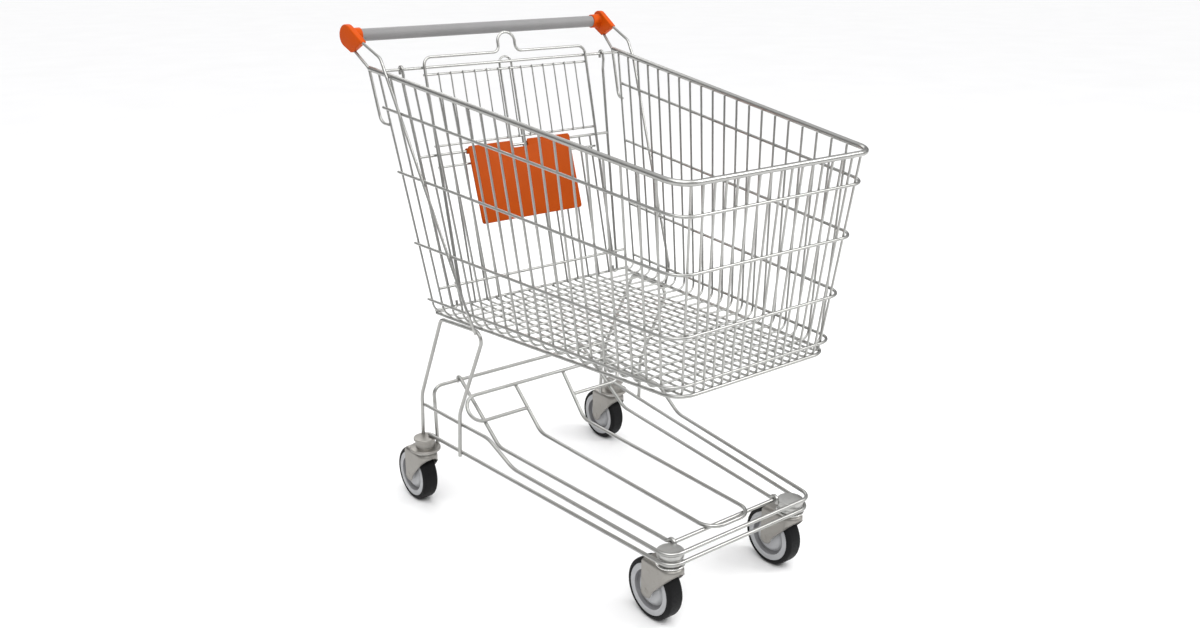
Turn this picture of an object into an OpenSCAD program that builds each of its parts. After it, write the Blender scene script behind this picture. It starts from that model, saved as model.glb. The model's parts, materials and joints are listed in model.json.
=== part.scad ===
// Shopping trolley on four swivel casters, built wire by wire.
// Millimetres, +Z up, the front of the trolley faces -Y, the floor is z = 0.

/* [Basket] */
// height of the rim's centreline at its rear end
rim_rear_z = 985.6; // [900:0.1:1100]
// half the distance between the rim's sides at the rear end
rim_rear_x = 321.5; // [250:0.1:360]
// half the distance between the rim's sides at the front corners
rim_front_x = 235.5; // [180:0.1:300]
// fall of the rim per millimetre of length
rim_slope = 0.1286; // [0:0.0001:0.3]
// thickness of the rim wire
rim_d = 11; // [6:0.5:16]
// thickness of the hoops
hoop_d = 6; // [3:0.5:10]
// thickness of the upright wires
cage_d = 4.5; // [2:0.5:8]
// thickness of the floor frame
floor_frame_d = 7; // [4:0.5:10]
// radius of the rim's and hoops' front corners
corner_r = 40; // [20:1:80]
// upright wires on each side
side_count = 20; // [8:1:30]
// upright wires on the front
front_count = 17; // [5:2:31]

/* [Handle] */
// handle tube diameter
handle_d = 26; // [20:0.5:40]
// height of the handle's axis
handle_z = 1047; // [900:1:1150]
// distance of the handle's axis behind the working origin
handle_y = 414; // [360:1:460]
// wall of the handle tube
handle_wall = 1.5; // [1:0.1:3]

/* [Chassis] */
// thickness of the chassis, leg and tray wires
frame_d = 8; // [6:0.5:14]
// thickness of the bracket and brace wires
brace_d = 6; // [4:0.5:10]

/* [Rear flap] */
// lean of the closed flap from the vertical, in degrees
flap_lean = 12.13; // [0:0.01:30]
// height of the cross bar that the flap hangs on
flap_hinge_z = 981; // [900:1:1050]
// distance of that cross bar behind the working origin
flap_hinge_y = 322; // [250:1:380]
// thickness of the flap and seat frames
flap_d = 6; // [4:0.5:8]

/* [Casters] */
// wheel diameter
wheel_d = 125; // [75:1:200]
// tyre width
tyre_w = 37; // [20:1:50]
// distance from the swivel axis to the wheel's axis
trail = 41; // [15:1:60]
// half the distance between the front swivel axes
front_caster_x = 163; // [120:1:220]
// half the distance between the rear swivel axes
rear_caster_x = 275; // [200:1:320]

/* [Hidden] */
mid_y = -38.79;          // middle of the object's length, moved to y = 0
weld = 0.4;              // depth that welded wires sink into each other
eps = 0.5;               // length that a straight run enters its bend
bend_swell = 0.1;        // a bend is thicker than its runs by this much
round_fn = 20;
wheel_r = wheel_d / 2;
cage_off = (hoop_d + cage_d) / 2 - weld;
bottom_rear = [278.2, 216];
bottom_front = [206.8, -445];
top_rear = [316.2, 322];
top_front = [234, -449.4];
wall_front_y = -470;
wall_front_run = -41.5;  // how much further forward the front wall stands at the rim
floor_rear = [263, 208];
floor_front = [193, -470];
floor_rear_z = 477;
floor_front_z = 486;
foot_z = (floor_frame_d + cage_d) / 2 - weld;
stop_y = 221.6;          // floor's rear wire, the stop of the flap
stop_z = 483;
front_caster_y = -426;
rear_caster_y = 285;
zinc = [0.72, 0.72, 0.71];
bright = [0.86, 0.86, 0.86];
orange = [0.93, 0.36, 0.08];
fork_color = [0.68, 0.66, 0.62];
rim_grey = [0.78, 0.79, 0.8];
black = [0.06, 0.06, 0.065];
fine = 48;

// ---- wires ---------------------------------------------------------------
function unit(v) = v / norm(v);
function limit(v) = max(-1, min(1, v));
function turn(p, q, s) = acos(limit(unit(q - p) * unit(s - q)));
function mix(a, b, t) = a + (b - a) * t;
function flip(p) = [-p[0], p[1], p[2]];
function reversed(list) = [for (i = [len(list) - 1 : -1 : 0]) list[i]];
function mirrored(list) = [for (p = reversed(list)) flip(p)];

module placed() {
  translate([0, -mid_y, 0]) children();
}

module aim(a, b) {
  v = b - a;
  translate(a) rotate([0, acos(limit(v[2] / norm(v))), atan2(v[1], v[0])]) children();
}

// one rounded bend at q between the runs from p and to s, a hair thicker than the runs
module bend(d, p, q, s, r) {
  u = unit(p - q);
  w = unit(s - q);
  half = acos(limit(u * w)) / 2;
  n = unit(cross(u, w));
  ex = -unit(u + w);
  ey = cross(n, ex);
  c = q - ex * r / sin(half);
  rows = [for (i = [0 : 2]) [ex[i], ey[i], n[i], c[i]]];
  multmatrix(concat(rows, [[0, 0, 0, 1]]))
    rotate([0, 0, half - 90])
      rotate_extrude(angle = 180 - 2 * half, $fn = fine)
        translate([r, 0]) circle(d = d + bend_swell, $fn = round_fn);
}

// a bent wire through the corner points pts, with a bend radius for each inner corner
module wire(d, pts, rs) {
  k = len(pts) - 1;
  for (i = [0 : k - 1]) {
    a = pts[i];
    b = pts[i + 1];
    cut_a = i == 0 ? 0 : rs[i - 1] * tan(turn(pts[i - 1], a, b) / 2) - eps;
    cut_b = i == k - 1 ? 0 : rs[i] * tan(turn(a, b, pts[i + 2]) / 2) - eps;
    aim(a + unit(b - a) * cut_a, b)
      cylinder(d = d, h = norm(b - a) - cut_a - cut_b, $fn = round_fn);
  }
  if (k > 1)
    for (i = [1 : k - 1]) bend(d, pts[i - 1], pts[i], pts[i + 1], rs[i - 1]);
}

module both_sides() {
  children();
  mirror([1, 0, 0]) children();
}

// ---- basket --------------------------------------------------------------
function rim_z(y) = rim_rear_z - (350 - y) * rim_slope;
function low_z(y) = 512 - (215 - y) * 0.0073;
function along_side(i) = i / (side_count - 1);
function side_top(i) = let (p = mix(top_rear, top_front, along_side(i))) [p[0], p[1], rim_z(p[1])];
function side_low(i) = let (p = mix(bottom_rear, bottom_front, along_side(i))) [p[0], p[1], low_z(p[1])];
// a point of the side wall: upright i, at the fraction f of its height
function wall(i, f) = mix(side_low(i), side_top(i), f);
// the same height on the side wall, at y
function wall_at(f, y) = let (a = wall(0, f), b = wall(side_count - 1, f))
  mix(a, b, (a[1] - y) / (a[1] - b[1]));
function front_y(f) = wall_front_y + wall_front_run * f;
function floor_at(y) = let (t = (floor_rear[1] - y) / (floor_rear[1] - floor_front[1]))
  [mix(floor_rear[0], floor_front[0], t), y, mix(floor_rear_z, floor_front_z, t)];
// how far a front wire at x stands back because the hoop turns its corner there
function corner_back(x, half) = let (over = abs(x) - (half - corner_r))
  over > 0 ? corner_r - sqrt(corner_r * corner_r - over * over) : 0;

module rim() {
  rear = [rim_rear_x, 347, rim_z(347)];
  front = [rim_front_x, -510, rim_z(-510)];
  color(zinc) placed() wire(rim_d, [rear, front, flip(front), flip(rear)], [corner_r, corner_r]);
}

module hoop(f) {
  out = [cage_off, 0, 0];
  rear = wall_at(f, wall(0, f)[1] + 5) + out;
  front = wall_at(f, front_y(f)) + out;
  wire(hoop_d, [rear, front, flip(front), flip(rear)], [corner_r, corner_r]);
}

module hoop_1() {
  color(zinc) placed() hoop(0.845);
}

module hoop_2() {
  color(zinc) placed() hoop(0.567);
}

module hoop_3() {
  color(zinc) placed() hoop(0.2535);
}

module hoop_4() {
  color(zinc) placed() hoop(0);
}

module floor_frame() {
  rear = floor_at(222);
  front = floor_at(floor_front[1]);
  color(zinc) placed() wire(floor_frame_d, [rear, front, flip(front), flip(rear)], [42, 42]);
}

module floor_rear_wire() {
  reach = floor_at(stop_y)[0] + 3;
  color(zinc) placed() wire(hoop_d, [[-reach, stop_y, stop_z], [reach, stop_y, stop_z]], []);
}

function foot_y(i) = mix(floor_rear[1], -440, along_side(i));

module side_wires() {
  for (i = [0 : side_count - 1]) {
    y = foot_y(i);
    foot = floor_at(y);
    low = mix(side_low(i), side_top(i), -0.055);
    corner = [low[0], y, foot[2] + foot_z];
    wire(cage_d, [wall(i, 0.991), corner, [foot[0] - 12, y, corner[2]]], [22]);
  }
}

module side_wires_left() {
  color(zinc) placed() mirror([1, 0, 0]) side_wires();
}

module side_wires_right() {
  color(zinc) placed() side_wires();
}

module floor_cross_wires() {
  color(zinc) placed()
    for (i = [1 : side_count - 1]) {
      foot = floor_at(foot_y(i));
      reach = foot[0] - 12.2;
      wire(cage_d, [[-reach, foot[1], foot[2] + foot_z], [reach, foot[1], foot[2] + foot_z]], []);
    }
}

front_half = (front_count - 1) / 2;
front_low_pitch = 22;
front_top_pitch = 26;
long_z = foot_z - cage_d + weld;   // the long floor wires lie under the cross wires
front_foot_y = floor_front[1] + 22;

module front_wires() {
  color(zinc) placed()
    for (j = [-front_half : front_half]) {
      top_x = j * front_top_pitch;
      low_x = j * front_low_pitch;
      top = [top_x, -506.2 + corner_back(top_x, rim_front_x), rim_z(-510) - 3];
      corner = [low_x, floor_front[1] + 1.4 + corner_back(low_x, floor_front[0]), floor_front_z + long_z];
      wire(cage_d, [top, corner, [corner[0], front_foot_y, corner[2]]], [10]);
    }
}

module floor_long_wires() {
  color(zinc) placed()
    for (j = [-front_half : front_half]) {
      x = j * front_low_pitch;
      a = [x, front_foot_y + 0.2, floor_at(front_foot_y)[2] + long_z];
      b = [x, stop_y + 2, floor_at(stop_y)[2] + long_z];
      wire(cage_d, [a, b], []);
    }
}

module cross_bar() {
  reach = 317;
  color(zinc) placed()
    wire(hoop_d, [[-reach, flap_hinge_y, flap_hinge_z], [reach, flap_hinge_y, flap_hinge_z]], []);
}

// ---- handle --------------------------------------------------------------
tube_end = 331;
cap_mid = 333.75;   // the middle of the cap's thickness, on the handle's axis
cap_t = 12.5;
cap_r = 23.4;
cap_flat = 36.6;    // distance of the cap's flat end from the handle's axis
cap_back = -0.9;    // the flat end's two corners, measured along it
cap_fore = 50.9;
cap_tilt = 27.3;    // the flat end faces down and forward by this much
cap_toe = 5.5;      // the caps stand parallel to the basket's sides
collar_start = 305;
collar_r = 15.5;

module handle_tube() {
  color(rim_grey) placed()
    translate([0, handle_y, handle_z]) rotate([0, 90, 0])
      difference() {
        cylinder(d = handle_d, h = 2 * tube_end, center = true, $fn = fine);
        cylinder(d = handle_d - 2 * handle_wall, h = 2 * tube_end + 2, center = true, $fn = fine);
      }
}

// the cap's outline in its own plane: first axis forward, second axis down from the handle
module cap_outline() {
  circle(r = cap_r, $fn = fine);
  back = [cap_back, cap_flat];
  fore = [cap_fore, cap_flat];
  dir_back = atan2(back[1], back[0]) + acos(limit(cap_r / norm(back)));
  dir_fore = atan2(fore[1], fore[0]) - acos(limit(cap_r / norm(fore)));
  inner = cap_r - 0.05;
  polygon([inner * [cos(dir_back), sin(dir_back)], back, fore, inner * [cos(dir_fore), sin(dir_fore)]]);
}

module cap_body() {
  c = cos(cap_tilt);
  s = sin(cap_tilt);
  translate([cap_mid, 0, 0]) rotate([0, 0, -cap_toe])
    multmatrix([[0, 0, 1, -cap_t / 2], [-c, -s, 0, 0], [s, -c, 0, 0], [0, 0, 0, 1]])
      linear_extrude(height = cap_t) cap_outline();
}

module cap() {
  translate([0, handle_y, handle_z])
    difference() {
      union() {
        cap_body();
        translate([collar_start, 0, 0]) rotate([0, 90, 0])
          cylinder(r = collar_r, h = cap_mid - collar_start, $fn = fine);
      }
      translate([collar_start - 1, 0, 0]) rotate([0, 90, 0])
        cylinder(d = handle_d + 0.1, h = tube_end + 1.5 - collar_start, $fn = fine);
    }
}

module cap_left() {
  color(orange) placed() mirror([1, 0, 0]) cap();
}

module cap_right() {
  color(orange) placed() cap();
}

bracket_path = [[331.5, 404, 1024], [321.5, 351, 985], [316.6, 321, 876.5], [311, 298.5, 875.3]];
brace_path = [[329.8, 368, 1040.5], [323.5, 296, 1010], [322.6, 275, 974], [274.2, 80, 515],
              [259.3, 77, 467]];

module bracket_left() {
  color(zinc) placed() wire(brace_d, [for (p = bracket_path) flip(p)], [16, 20]);
}

module bracket_right() {
  color(zinc) placed() wire(brace_d, bracket_path, [16, 20]);
}

module brace_left() {
  color(zinc) placed() wire(brace_d, [for (p = brace_path) flip(p)], [22, 40, 60]);
}

module brace_right() {
  color(zinc) placed() wire(brace_d, brace_path, [22, 40, 60]);
}

// ---- chassis -------------------------------------------------------------
leg_path = [[266, 308, 163], [265.5, 304, 262], [267, 201, 468.5], [251, 56, 472.5],
            [256, 158, 262], [257.2, 163, 158]];
lower_path = [[263, 284, 169], [190, -455, 146]];
upper_path = [[261.5, 300, 236], [241, 70, 229], [232, -8, 186], [192, -456, 168]];
arch_path = [[238.5, 292, 138], [243, 290, 278]];

module leg_frame_left() {
  color(zinc) placed() wire(frame_d, [for (p = leg_path) flip(p)], [60, 20, 20, 60]);
}

module leg_frame_right() {
  color(zinc) placed() wire(frame_d, leg_path, [60, 20, 20, 60]);
}

module chassis_lower() {
  color(zinc) placed() wire(frame_d, concat(lower_path, mirrored(lower_path)), [30, 30]);
}

module chassis_upper() {
  color(zinc) placed() wire(frame_d, concat(upper_path, mirrored(upper_path)), [60, 60, 30, 30, 60, 60]);
}

module rear_arch() {
  color(zinc) placed() wire(frame_d, concat(arch_path, mirrored(arch_path)), [20, 20]);
}

// ---- bottle tray ---------------------------------------------------------
carrier_top = [217, 265.3];
carrier_low = [177, 217.5];
carrier_x = 180;

module tray_carrier() {
  r = norm(carrier_top - carrier_low) / 2;
  corner = carrier_x + r;
  end = 66;
  path = [[end, carrier_low[0], carrier_low[1]], [corner, carrier_low[0], carrier_low[1]],
          [corner, carrier_top[0], carrier_top[1]]];
  color(zinc) placed() wire(frame_d, concat(path, mirrored(path)), [r - 0.8, r - 0.8, r - 0.8, r - 0.8]);
}

front_bar = [-404, 157.2];   // y and z of the bar that the tray's wires lie on in front
on_bar = frame_d - weld;     // centre distance of two frame wires that are welded together
over_bar = front_bar[1] + on_bar;
bar_front = front_bar[0] - on_bar;
outer_path = [[175, 297.7, 270], [175, 297.7, 292], [178.5, 125, 171], [140.3, -393.4, front_bar[1]],
              [139.8, -400.8, over_bar], [139, bar_front, over_bar], [139, bar_front, 151]];
outer_bends = [7.6, 40, 12, 7.6, 7.6];
inner_path = [[68, 221, 261.5], [62, 130, 171], [57, -424, over_bar - 0.2]];

module tray_outer_left() {
  color(zinc) placed() wire(frame_d, [for (p = outer_path) flip(p)], outer_bends);
}

module tray_outer_right() {
  color(zinc) placed() wire(frame_d, outer_path, outer_bends);
}

module tray_inner() {
  color(zinc) placed() wire(frame_d, concat(inner_path, mirrored(inner_path)), [40, 37, 37, 40]);
}

module tray_front_bar() {
  reach = 146;
  color(zinc) placed()
    wire(frame_d, [[-reach, front_bar[0], front_bar[1]], [reach, front_bar[0], front_bar[1]]], []);
}

// ---- rear flap and child seat, in the flap's own axes --------------------
// x across, y towards the rear, z up along the closed flap, 0 on the hinge
module on_flap() {
  placed() translate([0, flap_hinge_y, flap_hinge_z]) rotate([-flap_lean, 0, 0]) children();
}

hook_r = (hoop_d + flap_d) / 2 + 0.08;   // hooks turn round the bars with 0.08 mm to spare
hook_bend = hook_r - 0.3;
mid_bar_z = -183.1;
low_bar_z = -462.3;
low_bar_y = -5.6;
flap_end_z = -509.5;
mid_bar_reach = 252.8;
low_bar_reach = 256;
flap_side = [[264, hook_r, -9], [264, hook_r, hook_r], [264, -hook_r, hook_r], [264, -hook_r, -14],
             [263.5, 0, -36], [228.5, 0, flap_end_z], [217, 0, flap_end_z], [217, 0, flap_end_z + 14]];

module flap_frame() {
  color(zinc) on_flap() {
    both_sides()
      wire(flap_d, flap_side, [hook_bend, hook_bend, 10, 10, 5.4, 5.4]);
    wire(flap_d, [[-mid_bar_reach, 0, mid_bar_z], [mid_bar_reach, 0, mid_bar_z]], []);
    wire(flap_d, [[-low_bar_reach, low_bar_y, low_bar_z], [low_bar_reach, low_bar_y, low_bar_z]], []);
  }
}

upright_x = [48, 79, 110, 141, 172, 203];
loop_x = 15.5;        // half the distance between the tall loop's legs
loop_top_z = 11.5;
loop_bend = 15;
upright_top = [4.85, mid_bar_z + 0.5];
upright_low = [-1.9, flap_end_z];

// where an upright's centreline stands at height z
function upright_at(z) = mix(upright_low, upright_top, (z - flap_end_z) / (upright_top[1] - flap_end_z));

module flap_wires() {
  foot = [loop_x, upright_low[0], upright_low[1]];
  head = [loop_x, upright_at(loop_top_z)[0], loop_top_z];
  color(zinc) on_flap() {
    wire(cage_d, [foot, head, flip(head), flip(foot)], [loop_bend, loop_bend]);
    both_sides()
      for (x = upright_x)
        wire(cage_d, [[x, upright_low[0], upright_low[1]], [x, upright_top[0], upright_top[1]]], []);
  }
}

rest_bar_z = -209.7;   // bar that the folded plate rests on
seat_bar_d = 5;

module rest_bar() {
  reach = upright_x[5] + 8;
  at = upright_at(rest_bar_z)[0] - (cage_d + seat_bar_d) / 2 + weld;
  color(zinc) on_flap() wire(seat_bar_d, [[-reach, at, rest_bar_z], [reach, at, rest_bar_z]], []);
}

seat_x = 212;
seat_top_y = -6.4;
seat_top_z = 20.5;
hand_x = 22;           // half the width of the hand loop
hand_bend = 21;
hand_foot_bend = 14;
seat_loop_z = 62;
seat_low_y = low_bar_y - hook_r;
seat_bars = [-15.3, -164.7];
seat_bar_in = (flap_d + seat_bar_d) / 2 - weld;
// the centreline of the seat frame's leg at height z
function seat_leg(z) = mix([seat_x, seat_top_y, seat_top_z], [seat_x, seat_low_y, low_bar_z - hook_r],
                           (seat_top_z - z) / (seat_top_z - low_bar_z + hook_r));

module seat_frame() {
  hook_back = low_bar_y + hook_r;
  path = [[seat_x, hook_back, low_bar_z + 7], [seat_x, hook_back, low_bar_z - hook_r],
          seat_leg(low_bar_z - hook_r), seat_leg(seat_top_z), [hand_x, seat_top_y, seat_top_z],
          [hand_x, seat_top_y, seat_loop_z]];
  seat_bends = [hook_bend, hook_bend, 18, hand_foot_bend, hand_bend];
  color(zinc) on_flap() {
    wire(flap_d, concat(path, mirrored(path)),
         concat(seat_bends, reversed(seat_bends)));
    for (z = seat_bars) {
      y = seat_leg(z)[1] + seat_bar_in;
      wire(seat_bar_d, [[-seat_x - 2, y, z], [seat_x + 2, y, z]], []);
    }
  }
}

seat_wire_d = 3;
seat_wire_pitch = 30;

module seat_wires() {
  off = seat_bar_in - (seat_bar_d + seat_wire_d) / 2 + 0.3;
  top = seat_leg(seat_bars[0])[1] + off;
  low = seat_leg(seat_bars[1])[1] + off;
  color(zinc) on_flap()
    for (x = [-6 * seat_wire_pitch : seat_wire_pitch : 6 * seat_wire_pitch])
      wire(seat_wire_d, [[x, top, seat_bars[0] + 3], [x, low, seat_bars[1] - 3]], []);
}

plate_lean = 5.12;
plate_gap = 4;        // from the mid bar's centre to the plate's rear face
plate_t = 4;
plate_half = 135;
plate_up = 10;
plate_down = 161;
plate_corner = 6;
clip_x = [27, 132];
clip_w = 12;
clip_r = flap_d / 2 + 3;
notch_half = 19.5;
notch_low = -6;
peg = [-128, 8 - plate_down];
peg_r = 4;

module plate_outline() {
  inner = plate_half - plate_corner;
  difference() {
    union() {
      translate([-plate_half, plate_corner - plate_down])
        square([2 * plate_half, plate_up + plate_down - plate_corner]);
      translate([-inner, -plate_down]) square([2 * inner, plate_corner + 1]);
      for (s = [-1, 1])
        translate([s * inner, plate_corner - plate_down]) circle(r = plate_corner, $fn = fine);
    }
    translate([-notch_half, notch_low]) square([2 * notch_half, plate_up - notch_low + 1]);
  }
}

// a clip round the flap's middle bar, open by a slot at its rear
module plate_clip() {
  translate([-clip_w / 2, 0, 0])
    difference() {
      union() {
        rotate([0, 90, 0]) cylinder(r = clip_r, h = clip_w, $fn = fine);
        translate([0, -plate_gap - plate_t, -clip_r]) cube([clip_w, plate_gap + plate_t, 2 * clip_r]);
      }
      translate([-1, 0, 0]) rotate([0, 90, 0])
        cylinder(r = flap_d / 2 + 0.06, h = clip_w + 2, $fn = fine);
      translate([-1, 1.2, -clip_r - 3]) cube([clip_w + 2, clip_r + 2, clip_r + 1]);
    }
}

module seat_plate() {
  color(orange) on_flap() translate([0, 0, mid_bar_z]) rotate([-plate_lean, 0, 0]) {
    translate([0, -plate_gap, 0]) rotate([90, 0, 0]) {
      linear_extrude(height = plate_t) plate_outline();
      translate(peg) cylinder(r = peg_r, h = 2 * plate_t, $fn = fine);
    }
    for (s = [-1, 1], x = clip_x)
      translate([s * x, 0, 0]) plate_clip();
  }
}

// ---- casters -------------------------------------------------------------
head_ring_low = 136;
head_ring_t = 5.5;
race_low = 130.5;
race_t = 4.9;
race_r = [27, 30];
pin_r = 6;
pin_fit = 0.06;
half_in = 22;        // from the middle of the fork to the inside of a cheek
sheet = 2.5;         // fork sheet
half_out = half_in + sheet;
crown_r = 25;
fork_front = -28;    // the fork's front and rear, from the swivel axis
fork_back = 49;
fork_tip_r = 14;
fork_tip = [trail - fork_tip_r, 57];
fork_skirt = [fork_front, 119.5];
fork_hollow = 2.6;   // depth of the hollow in the fork's front edge
axle_r = 6;
axle_fit = 0.02;
axle_out = 0.4;      // how far the axle's ends stand out of the cheeks
nut_r = 9.5;
nut_t = 4;

module at_front(side) {
  placed() translate([side * front_caster_x, front_caster_y, 0]) children();
}

module at_rear(side) {
  placed() translate([side * rear_caster_x, rear_caster_y, 0]) children();
}

module at_wheel() {
  translate([0, trail, wheel_r]) rotate([0, 90, 0]) children();
}

module head(disc_z, disc_t, disc_r, ring_r, neck_r) {
  difference() {
    union() {
      translate([0, 0, head_ring_low]) cylinder(r = ring_r, h = head_ring_t, $fn = fine);
      translate([0, 0, head_ring_low + 1])
        cylinder(r = neck_r, h = disc_z - head_ring_low, $fn = fine);
      translate([0, 0, disc_z]) cylinder(r = disc_r, h = disc_t, $fn = fine);
    }
    translate([0, 0, head_ring_low - 1]) cylinder(r = pin_r + pin_fit, h = 16, $fn = fine);
  }
}

module head_front() {
  head(149.8, 10.7, 26.3, 24, 22);
}

module head_rear() {
  head(160, 5.3, 25.4, 34.5, 21.5);
}

module race() {
  difference() {
    translate([0, 0, race_low + 0.05]) cylinder(r1 = race_r[0], r2 = race_r[1], h = race_t, $fn = fine);
    translate([0, 0, race_low - 1]) cylinder(r = pin_r + 0.1, h = 8, $fn = fine);
  }
}

// the fork seen from the side: first axis towards the rear, second axis up
module fork_side() {
  chord = fork_skirt - fork_tip;
  hollow_r = norm(chord) * norm(chord) / (8 * fork_hollow) + fork_hollow / 2;
  away = unit([-chord[1], chord[0]]);
  centre = (fork_tip + fork_skirt) / 2 + away * (hollow_r - fork_hollow);
  difference() {
    polygon([fork_skirt, [fork_front, race_low], [fork_back, race_low],
             [trail + fork_tip_r, wheel_r + 2], [trail, wheel_r - 6], fork_tip]);
    translate(centre) circle(r = hollow_r, $fn = fine);
  }
  translate([trail, wheel_r]) circle(r = fork_tip_r, $fn = fine);
}

module fork_plan(half, front) {
  translate([-half, front + half]) square([2 * half, 80]);
  translate([0, front + half]) circle(r = half, $fn = fine);
}

module fork() {
  difference() {
    union() {
      intersection() {
        rotate([90, 0, 90]) translate([0, 0, -30]) linear_extrude(height = 60) fork_side();
        linear_extrude(height = race_low + 10) fork_plan(half_out, fork_front);
      }
      translate([0, 0, race_low - 2]) cylinder(r = crown_r, h = 2, $fn = fine);
    }
    translate([0, 0, -10])
      linear_extrude(height = race_low - sheet + 10) fork_plan(half_in, fork_front + sheet);
    translate([-40, trail, wheel_r]) rotate([0, 90, 0]) cylinder(r = axle_r, h = 80, $fn = fine);
  }
  translate([0, 0, race_low - sheet + 0.5]) cylinder(r = pin_r, h = 20, $fn = fine);
}

module axle() {
  at_wheel() {
    cylinder(r = axle_r - axle_fit, h = 2 * (half_out + axle_out), center = true, $fn = fine);
    translate([0, 0, half_out + 0.1]) cylinder(r = nut_r, h = nut_t, $fn = 6);
  }
}

// the core's section on one face: distance from the axle, distance from the wheel's middle
core_r = 53;
core_half = tyre_w / 2 - 0.6;
core_face = [
  [axle_r + 0.05, half_in - 0.6], [13, half_in - 0.6], [16, core_half - 1], [30, core_half - 3],
  [37, core_half - 6.5], [39.5, core_half - 6.5], [40.7, core_half], [core_r, core_half - 0.5]
];

module wheel_core() {
  at_wheel() rotate_extrude($fn = fine)
    polygon(concat(core_face, [for (p = reversed(core_face)) [p[0], -p[1]]]));
}

shoulder = 8;
function shoulder_point(a, s) = [
  wheel_r - shoulder + shoulder * cos(a), s * (tyre_w / 2 - shoulder + shoulder * sin(a))
];

module tyre() {
  bead = [core_r + 0.05, tyre_w / 2 - 0.3];
  side = concat([for (a = [0 : 15 : 90]) shoulder_point(a, 1)], [bead]);
  at_wheel() rotate_extrude($fn = fine)
    polygon(concat(side, [for (p = reversed(side)) [p[0], -p[1]]]));
}

module head_front_left() {
  color(fork_color) at_front(-1) head_front();
}

module head_front_right() {
  color(fork_color) at_front(1) head_front();
}

module head_rear_left() {
  color(fork_color) at_rear(-1) head_rear();
}

module head_rear_right() {
  color(fork_color) at_rear(1) head_rear();
}

module race_front_left() {
  color(bright) at_front(-1) race();
}

module race_front_right() {
  color(bright) at_front(1) race();
}

module race_rear_left() {
  color(bright) at_rear(-1) race();
}

module race_rear_right() {
  color(bright) at_rear(1) race();
}

module fork_front_left() {
  color(fork_color) at_front(-1) fork();
}

module fork_front_right() {
  color(fork_color) at_front(1) fork();
}

module fork_rear_left() {
  color(fork_color) at_rear(-1) fork();
}

module fork_rear_right() {
  color(fork_color) at_rear(1) fork();
}

module axle_front_left() {
  color(zinc) at_front(-1) axle();
}

module axle_front_right() {
  color(zinc) at_front(1) axle();
}

module axle_rear_left() {
  color(zinc) at_rear(-1) axle();
}

module axle_rear_right() {
  color(zinc) at_rear(1) axle();
}

module wheel_front_left() {
  color(rim_grey) at_front(-1) wheel_core();
}

module wheel_front_right() {
  color(rim_grey) at_front(1) wheel_core();
}

module wheel_rear_left() {
  color(rim_grey) at_rear(-1) wheel_core();
}

module wheel_rear_right() {
  color(rim_grey) at_rear(1) wheel_core();
}

module tyre_front_left() {
  color(black) at_front(-1) tyre();
}

module tyre_front_right() {
  color(black) at_front(1) tyre();
}

module tyre_rear_left() {
  color(black) at_rear(-1) tyre();
}

module tyre_rear_right() {
  color(black) at_rear(1) tyre();
}

rim();
hoop_1();
hoop_2();
hoop_3();
hoop_4();
floor_frame();
floor_rear_wire();
side_wires_left();
side_wires_right();
front_wires();
floor_cross_wires();
floor_long_wires();
cross_bar();
handle_tube();
cap_left();
cap_right();
bracket_left();
bracket_right();
brace_left();
brace_right();
leg_frame_left();
leg_frame_right();
chassis_lower();
chassis_upper();
rear_arch();
tray_carrier();
tray_outer_left();
tray_outer_right();
tray_inner();
tray_front_bar();
head_front_left();
head_front_right();
head_rear_left();
head_rear_right();
race_front_left();
race_front_right();
race_rear_left();
race_rear_right();
fork_front_left();
fork_front_right();
fork_rear_left();
fork_rear_right();
axle_front_left();
axle_front_right();
axle_rear_left();
axle_rear_right();
wheel_front_left();
wheel_front_right();
wheel_rear_left();
wheel_rear_right();
tyre_front_left();
tyre_front_right();
tyre_rear_left();
tyre_rear_right();
flap_frame();
flap_wires();
rest_bar();
seat_frame();
seat_wires();
seat_plate();
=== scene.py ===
import json
import math

import bmesh
import bpy
from mathutils import Matrix, Vector
from mathutils.bvhtree import BVHTree
from mathutils.geometry import intersect_ray_tri


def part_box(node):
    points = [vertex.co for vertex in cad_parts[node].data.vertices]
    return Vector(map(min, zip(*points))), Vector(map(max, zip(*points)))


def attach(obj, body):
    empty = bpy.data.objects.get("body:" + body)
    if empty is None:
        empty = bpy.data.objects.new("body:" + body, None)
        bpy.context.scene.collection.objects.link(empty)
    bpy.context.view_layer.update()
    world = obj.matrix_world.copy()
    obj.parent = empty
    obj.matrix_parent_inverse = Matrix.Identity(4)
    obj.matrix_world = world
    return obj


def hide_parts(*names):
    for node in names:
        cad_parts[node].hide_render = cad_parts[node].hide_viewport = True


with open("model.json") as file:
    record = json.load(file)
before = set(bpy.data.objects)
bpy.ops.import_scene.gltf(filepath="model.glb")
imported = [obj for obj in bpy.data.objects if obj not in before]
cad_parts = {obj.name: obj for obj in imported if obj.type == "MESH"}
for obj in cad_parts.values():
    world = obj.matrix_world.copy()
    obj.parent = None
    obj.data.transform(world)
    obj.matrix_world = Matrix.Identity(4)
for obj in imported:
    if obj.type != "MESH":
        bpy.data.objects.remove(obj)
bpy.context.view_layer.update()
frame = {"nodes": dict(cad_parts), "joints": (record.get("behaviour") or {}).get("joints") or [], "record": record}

MM = 0.001
NODES = frame["nodes"]
BODY_OF = {n: b for b, names in frame["record"]["behaviour"]["bodies"].items() for n in names}
JOINT = {j["name"]: j for j in frame["joints"]}
SIDES = {"left": -1, "right": 1}
CORNERS = [f"{end}_{side}" for end in ("front", "rear") for side in SIDES]


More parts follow.
